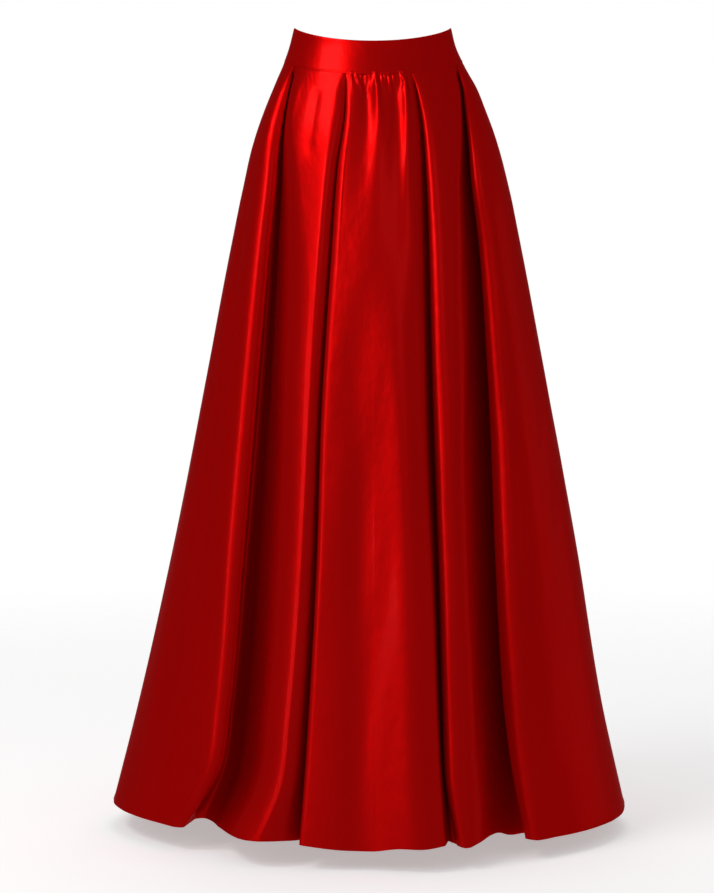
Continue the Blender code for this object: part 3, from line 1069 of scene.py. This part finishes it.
    def gather_relief(self, share: np.ndarray, width: np.ndarray, below: np.ndarray) -> np.ndarray:
        """Raises the gathers, each narrow at the seam and wider and softer below it.

        Args:
            share: shares across the gathered stretch, -1 elsewhere.
            width: how wide that stretch is at each row.
            below: how far each point lies below the seam.

        Returns:
            Heights out of the cloth.
        """
        relief = sum(gather.relief(share * width, width, below) for gather in GATHERS)
        return np.where(share >= 0, relief, 0.0)

    def fold_relief(self, degrees: np.ndarray, drop: np.ndarray) -> np.ndarray:
        """Raises the panel's soft folds.

        Args:
            degrees: each point's angle.
            drop: each point's drop.

        Returns:
            Heights out of the cloth.
        """
        per_metre = self.figure.degrees_per_metre(degrees, drop)
        relief = np.zeros_like(degrees)
        for fold in self.folds:
            down = np.clip((drop - fold.top[1]) / (fold.foot[1] - fold.top[1]), 0, 1)
            line = fold.top[0] + (fold.foot[0] - fold.top[0]) * down + fold.bow * 4 * down * (1 - down)
            away = (degrees - line) / per_metre / fold.width
            fade = eased(np.minimum(down / fold.fade, 1)) * eased(np.minimum((1 - down) / fold.fade, 1))
            relief += fold.height * fade * np.exp(-away * away)
        return relief

    def small_relief(self, across: np.ndarray, drop: np.ndarray, below: np.ndarray) -> np.ndarray:
        """Adds the cloth's slight unevenness and the puckers under the seam.

        Args:
            across: each point's place across the cloth, in metres.
            drop: each point's drop.
            below: how far each point lies below the seam.

        Returns:
            Heights out of the cloth.
        """
        chance = np.random.default_rng(self.seed)
        relief = np.zeros_like(across)
        for _ in range(self.uneven_waves):
            per_across, per_down = chance.uniform(6, 26), chance.uniform(0.6, 4.0)
            phase, size = chance.uniform(0, 2 * math.pi), chance.uniform(0.25, 1.0)
            sway = 0.35 * np.sin(2 * math.pi * drop * chance.uniform(0.8, 2.0) + chance.uniform(0, 6.3))
            relief += size * np.sin(2 * math.pi * (per_across * across + per_down * drop) + phase + sway)
        relief *= self.uneven * np.clip(0.4 + drop, 0, 1)
        puckers = np.zeros_like(across)
        for _ in range(self.pucker_waves):
            puckers += np.sin(2 * math.pi * across * chance.uniform(60, 150) + chance.uniform(0, 6.3))
        return relief + puckers * self.pucker * np.exp(-below / self.puckered_for)

    def grid(self) -> np.ndarray:
        """Works out the panel's middle surface, with its turned edges.

        Returns:
            Rows of points from the seam down to the hem and up inside it.
        """
        figure = self.figure
        rows = []
        for share in self.row_shares():
            nominal = figure.band_height + (HEM_DROP - figure.band_height) * share
            degrees, inward, takes, shares = self.plan(nominal + figure.seam_dip * (1 - share))
            top = figure.seam(degrees) + self.below_seam
            drop = top + (HEM_DROP - top) * share - hem_rise(degrees) * share**HEM_RISE_POWER
            rows.append((figure.place(degrees, inward, drop), degrees, takes, shares, drop, top))
        # Every grid runs from left to right seen from outside
        step = -1 if self.last < self.first else 1
        points, degrees, takes, shares, drop, top = (np.array(part)[:, ::step] for part in zip(*rows))
        across = cloth_places(points, 0.0)[..., 0]
        middle = shares[0] >= 0
        width = np.ones(len(points))
        if middle.any():
            width = across[:, middle].max(axis=1) - across[:, middle].min(axis=1)
        below = drop - top
        relief = self.fold_relief(degrees, drop) + self.small_relief(across, drop, below)
        free = eased(np.clip(below / self.calm_for, 0, 1))
        relief = relief * takes * (self.calm_share + (1 - self.calm_share) * free)
        relief += self.gather_relief(shares, width[:, None], below)
        edge = np.ones(points.shape[1])
        edge[: len(EDGE_FADE)] = EDGE_FADE
        edge[-len(EDGE_FADE) :] = EDGE_FADE[::-1]
        points = points + grid_normals(points) * (relief * edge)[..., None]
        return self.turned_edges(points)

    def turned_edges(self, points: np.ndarray) -> np.ndarray:
        """Turns the hem up inside, tucks the top behind the band, and turns the side edges in.

        Args:
            points: the panel's face.

        Returns:
            The face with its turned edges.
        """
        normals = grid_normals(points)
        # One millimetre in each direction, so that the numbers below are millimetres
        up = np.array([0.0, 0.0, MM])
        outside = normals[0] * MM
        inside = -normals[-1] * MM
        above = [points[0] - outside * 0.7 + up * 4.0, points[0] - outside * 0.5 + up * 1.6]
        hem = [
            points[-1] + inside * 0.5 + up * 0.15,
            points[-1] + inside * 0.95 + up,
            (points[-4] + points[-3]) / 2 + inside,
        ]
        points = np.concatenate([above, points, hem])
        normals = grid_normals(points)
        sides = []
        for column, beside in ((0, 1), (-1, -2)):
            away = points[:, beside] - points[:, column]
            away *= MM / np.linalg.norm(away, axis=1, keepdims=True)
            inside = -normals[:, column] * MM
            edge = points[:, column] + away * 0.01
            sides.append([edge + inside * 1.5 + away * 6.0, edge + inside * 1.2 + away * 0.3, edge])
        left, right = sides
        return np.concatenate([np.stack(left, 1), points[:, 1:-1], np.stack(right[::-1], 1)], axis=1)

    def build(self, satin: Material) -> Object:
        """Makes the panel and dresses it.

        Args:
            satin: the cloth's material.

        Returns:
            The panel.
        """
        points = self.grid()
        piece = closed_shell(self.name, points, self.cloth, 0.0, cloth_places(points, float(self.seed)))
        piece.data.materials.append(satin)
        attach(piece, "skirt")
        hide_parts(self.node)
        pleats = ", ".join(pleat.name for pleat in self.pleats)
        LOG.info("%s: %d faces, pleats %s", self.name, len(piece.data.polygons), pleats)
        return piece


@dataclass
class Waistband:
    """The shaped band, doubled and stiffened, with soft rolled edges.

    Attributes:
        figure: the skirt's outline.
        thickness: how thick it is.
        roll: the radius of its rolled edges.
        puff: how far its face swells at mid height.
        uneven: how high its slight unevenness is.
        uneven_waves: how many waves make it.
        wave_rate: how close they are round the band.
        gap: half the gap at the centre back.
        gap_drop: the drop at which the gap is measured.
        mean_radius: the radius that turns its angles into lengths of cloth.
        cut_height: its height on the flat cloth.
        weave_start: where its weave begins, apart from the other pieces'.
        inner_start: how far down the flat cloth its inner face begins.
        columns: the steps round it.
        face_rows: the steps down each face.
        corner_steps: the steps of each rolled corner.
        seed: which unevenness it has.
    """

    figure: Figure
    thickness: float = 2.2 * MM
    roll: float = 0.9 * MM
    puff: float = 0.25 * MM
    uneven: float = 0.07 * MM
    uneven_waves: int = 9
    wave_rate: float = 1.7
    gap: float = 0.15 * MM
    gap_drop: float = 0.03
    mean_radius: float = 0.115
    cut_height: float = 0.05
    weave_start: float = 7.0
    inner_start: float = 0.1
    columns: int = 220
    face_rows: int = 16
    corner_steps: int = 4
    seed: int = 11

    def edge(self, share: float) -> list[Triple]:
        """Rounds the band's top or bottom edge in two quarter turns.

        Args:
            share: 0 at the top edge and 1 at the bottom.

        Returns:
            Points in profile's form.
        """
        half, roll, steps = self.thickness / 2, self.roll, self.corner_steps
        facing = 2 * share - 1
        points = []
        for centre, first in ((half - roll, 1), (roll - half, steps)):
            for k in range(first, first + steps):
                turn = math.pi * (1 - share + k / (2 * steps))
                out = facing * centre + roll * math.cos(turn)
                points.append((share, roll * (math.sin(turn) - facing), out))
        return points

    def profile(self) -> list[Triple]:
        """Goes once round the band's section.

        Returns:
            For each point its share of the height, a distance down past that share, and a distance outward.
        """
        half, outer, inner = self.thickness / 2, [], []
        for k in range(self.face_rows + 1):
            share = k / self.face_rows
            past = self.roll * (1 - 2 * share)
            outer.append((share, past, half + self.puff * math.sin(math.pi * share)))
            inner.append((share, past, -half))
        return outer + self.edge(1.0) + inner[::-1] + self.edge(0.0)

    def build(self, satin: Material) -> Object:
        """Makes the band and dresses it.

        Args:
            satin: the cloth's material.

        Returns:
            The band.
        """
        figure = self.figure
        gap = float(figure.degrees_per_metre(CENTRE_BACK, self.gap_drop)) * self.gap
        degrees = np.linspace(-CENTRE_BACK, CENTRE_BACK, self.columns + 1)
        degrees[0], degrees[-1] = -CENTRE_BACK + gap, CENTRE_BACK - gap
        rim, seam = figure.rim(degrees), figure.seam(degrees)
        rings, places = [], []
        chance = np.random.default_rng(self.seed)
        waves = [
            (chance.uniform(1, 9), chance.uniform(-2.2, 2.2), chance.uniform(0, 6.3))
            for _ in range(self.uneven_waves)
        ]
        angle = np.radians(degrees)
        around = angle * self.mean_radius + self.weave_start
        for share, past, out in self.profile():
            outside = out > 0
            lift = sum(
                np.sin(turns * angle * self.wave_rate + slant * share + phase)
                for turns, slant, phase in waves
            )
            uneven = lift * self.uneven * math.sin(math.pi * share) * outside
            rings.append(figure.place(degrees, -(out + uneven), rim + (seam - rim) * share + past))
            down = share * self.cut_height + (0 if outside else self.inner_start)
            places.append(np.stack([around, np.full_like(around, down)], axis=-1))
        points = np.array(rings)
        index = np.arange(points[..., 0].size).reshape(points.shape[:2])
        faces = strips(index, np.roll(index, -1, axis=0)).tolist()
        faces += [index[:, 0][::-1].tolist(), index[:, -1].tolist()]
        piece = cloth_piece("waistband_cloth", points, faces, np.array(places))
        piece.data.materials.append(satin)
        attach(piece, "skirt")
        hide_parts("waistband")
        LOG.info("waistband: %d faces", len(faces))
        return piece


@dataclass
class ZipClosure:
    """The centre back zip: two tapes and their closed coil inside the seam, with the slider and pull outside.

    Attributes:
        figure: the skirt's outline.
        length: the tapes' length.
        tape_start: how far below the band's top edge the tapes begin.
        tape_width: one tape's width.
        tape_thick: how thick they are.
        tape_rows: the rows of points down them.
        weave_start: where their cloth coordinates begin, apart from the other pieces'.
        inward_band: how far in from the outline they lie behind the band.
        inward_skirt: the same behind the panels.
        coil_start: how far below the band's top edge the coil begins.
        coil_shorter: how much shorter than the tapes it is.
        tooth_pitch: the distance from one loop to the next on the same side.
        tooth_radius: a loop's radius before it is stretched.
        tooth_stretch: how a loop is stretched.
        tooth_aside: how far from the middle each loop lies.
    """

    figure: Figure
    length: float = 0.196
    tape_start: float = 1.2 * MM
    tape_width: float = 10.5 * MM
    tape_thick: float = 0.5 * MM
    tape_rows: int = 50
    weave_start: float = 9.0
    inward_band: float = 1.75 * MM
    inward_skirt: float = 1.65 * MM
    coil_start: float = 8 * MM
    coil_shorter: float = 12 * MM
    tooth_pitch: float = 1.6 * MM
    tooth_radius: float = 0.5 * MM
    tooth_stretch: Triple = (2.4, 1.0, 0.75)
    tooth_aside: float = 0.9 * MM

    def inward(self, drop: float) -> float:
        """How far in from the outline the tape's middle lies at a drop."""
        return self.inward_band if drop < float(self.figure.seam(CENTRE_BACK)) else self.inward_skirt

    def build_tape(self, cloth: Material) -> Object:
        """Makes the two tapes as one closed strip with a thin groove between them.

        Args:
            cloth: the tape's material.

        Returns:
            The tape.
        """
        figure = self.figure
        start = float(figure.rim(CENTRE_BACK)) + self.tape_start
        across = np.array([-1.0, -0.8, -0.5, -0.12, -0.03, 0.03, 0.12, 0.5, 0.8, 1.0]) * self.tape_width
        groove = np.array([0, 0, 0, 0, 0.25, 0.25, 0, 0, 0, 0]) * MM
        rows = []
        for drop in np.linspace(start, start + self.length, self.tape_rows):
            degrees = CENTRE_BACK + across * float(figure.degrees_per_metre(CENTRE_BACK, drop))
            rows.append(figure.place(degrees, self.inward(drop) - groove, np.full(len(across), drop)))
        points, half = np.array(rows)[:, ::-1], self.tape_thick / 2
        piece = closed_shell("zip_tape_cloth", points, half, half, cloth_places(points, self.weave_start))
        piece.data.materials.append(cloth)
        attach(piece, "skirt")
        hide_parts("zip_tape")
        LOG.info("zip tape: %d faces", len(piece.data.polygons))
        return piece

    def build_coil(self, lacquer: Material) -> Object:
        """Makes the closed coil: a row of small crossed loops down the middle of the tapes.

        Args:
            lacquer: the coil's material.

        Returns:
            The coil.
        """
        figure, pitch, radius = self.figure, self.tooth_pitch, self.tooth_radius
        start = float(figure.rim(CENTRE_BACK)) + self.coil_start
        count = int((self.length - self.coil_shorter) / pitch)
        shape = bmesh.new()
        for drop in (start + k * pitch for k in range(count)):
            outline = float(through(drop, figure.drops, figure.back))
            y = outline - self.inward(drop) - self.tape_thick / 2 - radius
            for side in (-1, 1):
                grown = bmesh.ops.create_uvsphere(shape, u_segments=8, v_segments=5, radius=radius)
                bmesh.ops.scale(shape, vec=self.tooth_stretch, verts=grown["verts"])
                shift = Vector((side * self.tooth_aside, y, -drop - side * pitch / 4))
                bmesh.ops.translate(shape, vec=shift, verts=grown["verts"])
        mesh = bpy.data.meshes.new("zip_coil")
        shape.to_mesh(mesh)
        shape.free()
        mesh.shade_smooth()
        mesh.materials.append(lacquer)
        piece = linked("zip_coil", mesh)
        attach(piece, "skirt")
        LOG.info("zip coil: %d loops", count * 2)
        return piece

    def dress_metal(self, nodes: dict[str, Object], lacquer: Material) -> None:
        """Gives the slider and the pull their lacquer.

        Args:
            nodes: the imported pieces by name.
            lacquer: the lacquer.
        """
        for name in ("zip_slider", "zip_pull"):
            nodes[name].data.materials.clear()
            nodes[name].data.materials.append(lacquer)
            LOG.info("%s: lacquered", name)


@dataclass(frozen=True)
class SoftBox:
    """One soft light: where it stands round the skirt, its size, its power and the height that it faces."""

    name: str
    azimuth: float
    elevation: float
    distance: float
    width: float
    height: float
    power: float
    aim: float


@dataclass
class Studio:
    """A pale floor that fades into a white surround, soft lights and the camera.

    Attributes:
        floor_drop: the floor's drop.
        floor_radius: its radius.
        floor_tone: how pale it is.
        floor_glow: how much it shines by itself, so that it meets the surround in white.
        fades_from: how far from the middle it begins to fade.
        fades_to: how far out it has faded.
        surround: how strongly the surround lights the skirt.
        camera_place: where the camera stands.
        camera_tip: how many degrees it looks down.
        lens: its focal length in millimetres.
        boxes: the soft lights.
    """

    floor_drop: float = 1.150
    floor_radius: float = 30.0
    floor_tone: float = 0.88
    floor_glow: float = 0.42
    fades_from: float = 1.2
    fades_to: float = 3.2
    surround: float = 0.335
    camera_place: Triple = (-0.0223, -4.8, -0.2)
    camera_tip: float = 4.757
    lens: float = 134.6
    boxes: tuple[SoftBox, ...] = (
        SoftBox("key", -52.0, 43.0, 3.3, 1.3, 0.9, 24.0, -0.3),
        SoftBox("mid_key", -31.0, 27.0, 3.3, 0.8, 0.8, 10.0, -0.4),
        SoftBox("low_key", -44.0, 17.0, 3.4, 0.6, 0.9, 4.6, -0.8),
        SoftBox("front_fill", 15.0, 27.0, 3.3, 0.8, 0.8, 1.5, -0.4),
        SoftBox("right_edge", 112.0, 6.0, 3.3, 1.6, 1.6, 1.4, -0.8),
        SoftBox("back_left", -172.0, 60.0, 3.3, 1.2, 1.2, 12.0, -0.4),
        SoftBox("back_right", 150.0, 58.0, 3.3, 0.8, 0.8, 8.0, -0.4),
    )

    def build_lights(self) -> None:
        """Sets up the soft lights, each facing the skirt."""
        for box in self.boxes:
            light = bpy.data.lights.new(box.name, "AREA")
            light.shape = "RECTANGLE"
            light.size, light.size_y = box.width, box.height
            light.energy = box.power
            azimuth, elevation = math.radians(box.azimuth), math.radians(box.elevation)
            flat = math.cos(elevation) * box.distance
            high = math.sin(elevation) * box.distance
            offset = Vector((math.sin(azimuth) * flat, -math.cos(azimuth) * flat, high))
            lamp = linked(box.name, light)
            lamp.visible_camera = False
            lamp.location = Vector((0.0, 0.0, box.aim)) + offset
            lamp.rotation_euler = (-offset).to_track_quat("-Z", "Y").to_euler()
            LOG.info("light %s: %.1f W", box.name, box.power)

    def build_world(self) -> None:
        """Makes a surround that the camera sees as white and that lights the skirt softly."""
        world = bpy.data.worlds.new("studio_surround")
        world.use_nodes = True
        tree = world.node_tree
        tree.nodes.clear()
        white = (1.0, 1.0, 1.0, 1.0)
        seen = add_node(tree, "Background", {"Color": white})
        lit = add_node(tree, "Background", {"Color": white, "Strength": self.surround})
        path = add_node(tree, "LightPath")
        mix = add_node(tree, "MixShader")
        out = add_node(tree, "OutputWorld")
        link(path, "Is Camera Ray", mix, "Fac")
        link(lit, "Background", mix, 1)
        link(seen, "Background", mix, 2)
        link(mix, "Shader", out, "Surface")
        bpy.context.scene.world = world

    def build_floor(self) -> None:
        """Lays a round pale floor under the hem, which fades out far from the skirt."""
        shape = bmesh.new()
        bmesh.ops.create_circle(shape, cap_ends=True, segments=96, radius=self.floor_radius)
        bmesh.ops.translate(shape, vec=(0, 0, -self.floor_drop), verts=shape.verts)
        mesh = bpy.data.meshes.new("studio_floor")
        shape.to_mesh(mesh)
        shape.free()
        made, tree, shader = new_material("pale_floor")
        pale = {
            "Base Color": (self.floor_tone, self.floor_tone, self.floor_tone, 1.0),
            "Roughness": 0.9,
            "Specular IOR Level": 0.0,
            "Emission Color": (1.0, 1.0, 1.0, 1.0),
            "Emission Strength": self.floor_glow,
        }
        set_inputs(shader, pale)
        span = {"From Min": self.fades_from, "From Max": self.fades_to, "To Min": 1.0, "To Max": 0.0}
        coordinates = add_node(tree, "TexCoord")
        distance = add_node(tree, "VectorMath", operation="LENGTH")
        fade = add_node(tree, "MapRange", span, interpolation_type="SMOOTHSTEP")
        link(coordinates, "Object", distance, 0)
        link(distance, "Value", fade, "Value")
        link(fade, "Result", shader, "Alpha")
        mesh.materials.append(made)
        floor = linked("studio_floor", mesh)
        floor.visible_glossy = False

    def build_camera(self) -> None:
        """Stands the camera in front of the skirt, a little to its left, and tips it slightly down."""
        camera = bpy.data.cameras.new("camera")
        camera.sensor_width = 36.0
        camera.lens = self.lens
        stand = linked("camera", camera)
        stand.location = self.camera_place
        stand.rotation_euler = (math.radians(90 - self.camera_tip), 0.0, 0.0)
        bpy.context.scene.camera = stand

    def build(self) -> None:
        """Sets up the whole studio."""
        self.build_lights()
        self.build_world()
        self.build_floor()
        self.build_camera()
        bpy.context.scene.view_settings.view_transform = "Standard"
        LOG.info("studio: %d lights", len(self.boxes))


def skirt_panels(figure: Figure) -> tuple[SkirtPanel, ...]:
    """Lists the front panel and the two back panels.

    Args:
        figure: the skirt's outline.

    Returns:
        The panels.
    """
    back_cut, back_area = (0.76, 1.12), 0.54
    front = SkirtPanel(
        "front_cloth", "skirt_front", figure, FRONT_PLEATS, FRONT_FOLDS,
        -SIDE_SEAM, SIDE_SEAM, (1.50, 1.12), 1.06, gathered=True, seed=1,
    )
    left_back = SkirtPanel(
        "left_back_cloth", "skirt_back_left", figure, LEFT_BACK_PLEATS, LEFT_BACK_FOLDS,
        -SIDE_SEAM, -CENTRE_BACK, back_cut, back_area, seed=2,
    )
    right_back = SkirtPanel(
        "right_back_cloth", "skirt_back_right", figure, RIGHT_BACK_PLEATS, RIGHT_BACK_FOLDS,
        SIDE_SEAM, CENTRE_BACK, back_cut, back_area, seed=3,
    )
    return front, left_back, right_back


def main() -> None:
    """Builds and dresses the skirt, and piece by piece."""
    logging.basicConfig(level=logging.INFO, format="%(message)s")
    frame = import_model()
    Studio().build()
    figure = Figure()
    satin = Satin().material()
    lacquer = Lacquer().material()
    for panel in skirt_panels(figure):
        panel.build(satin)
    Waistband(figure).build(satin)
    zip_closure = ZipClosure(figure)
    zip_closure.build_tape(TapeCloth().material())
    zip_closure.build_coil(lacquer)
    zip_closure.dress_metal(frame["nodes"], lacquer)


if __name__ == "__main__":
    main()
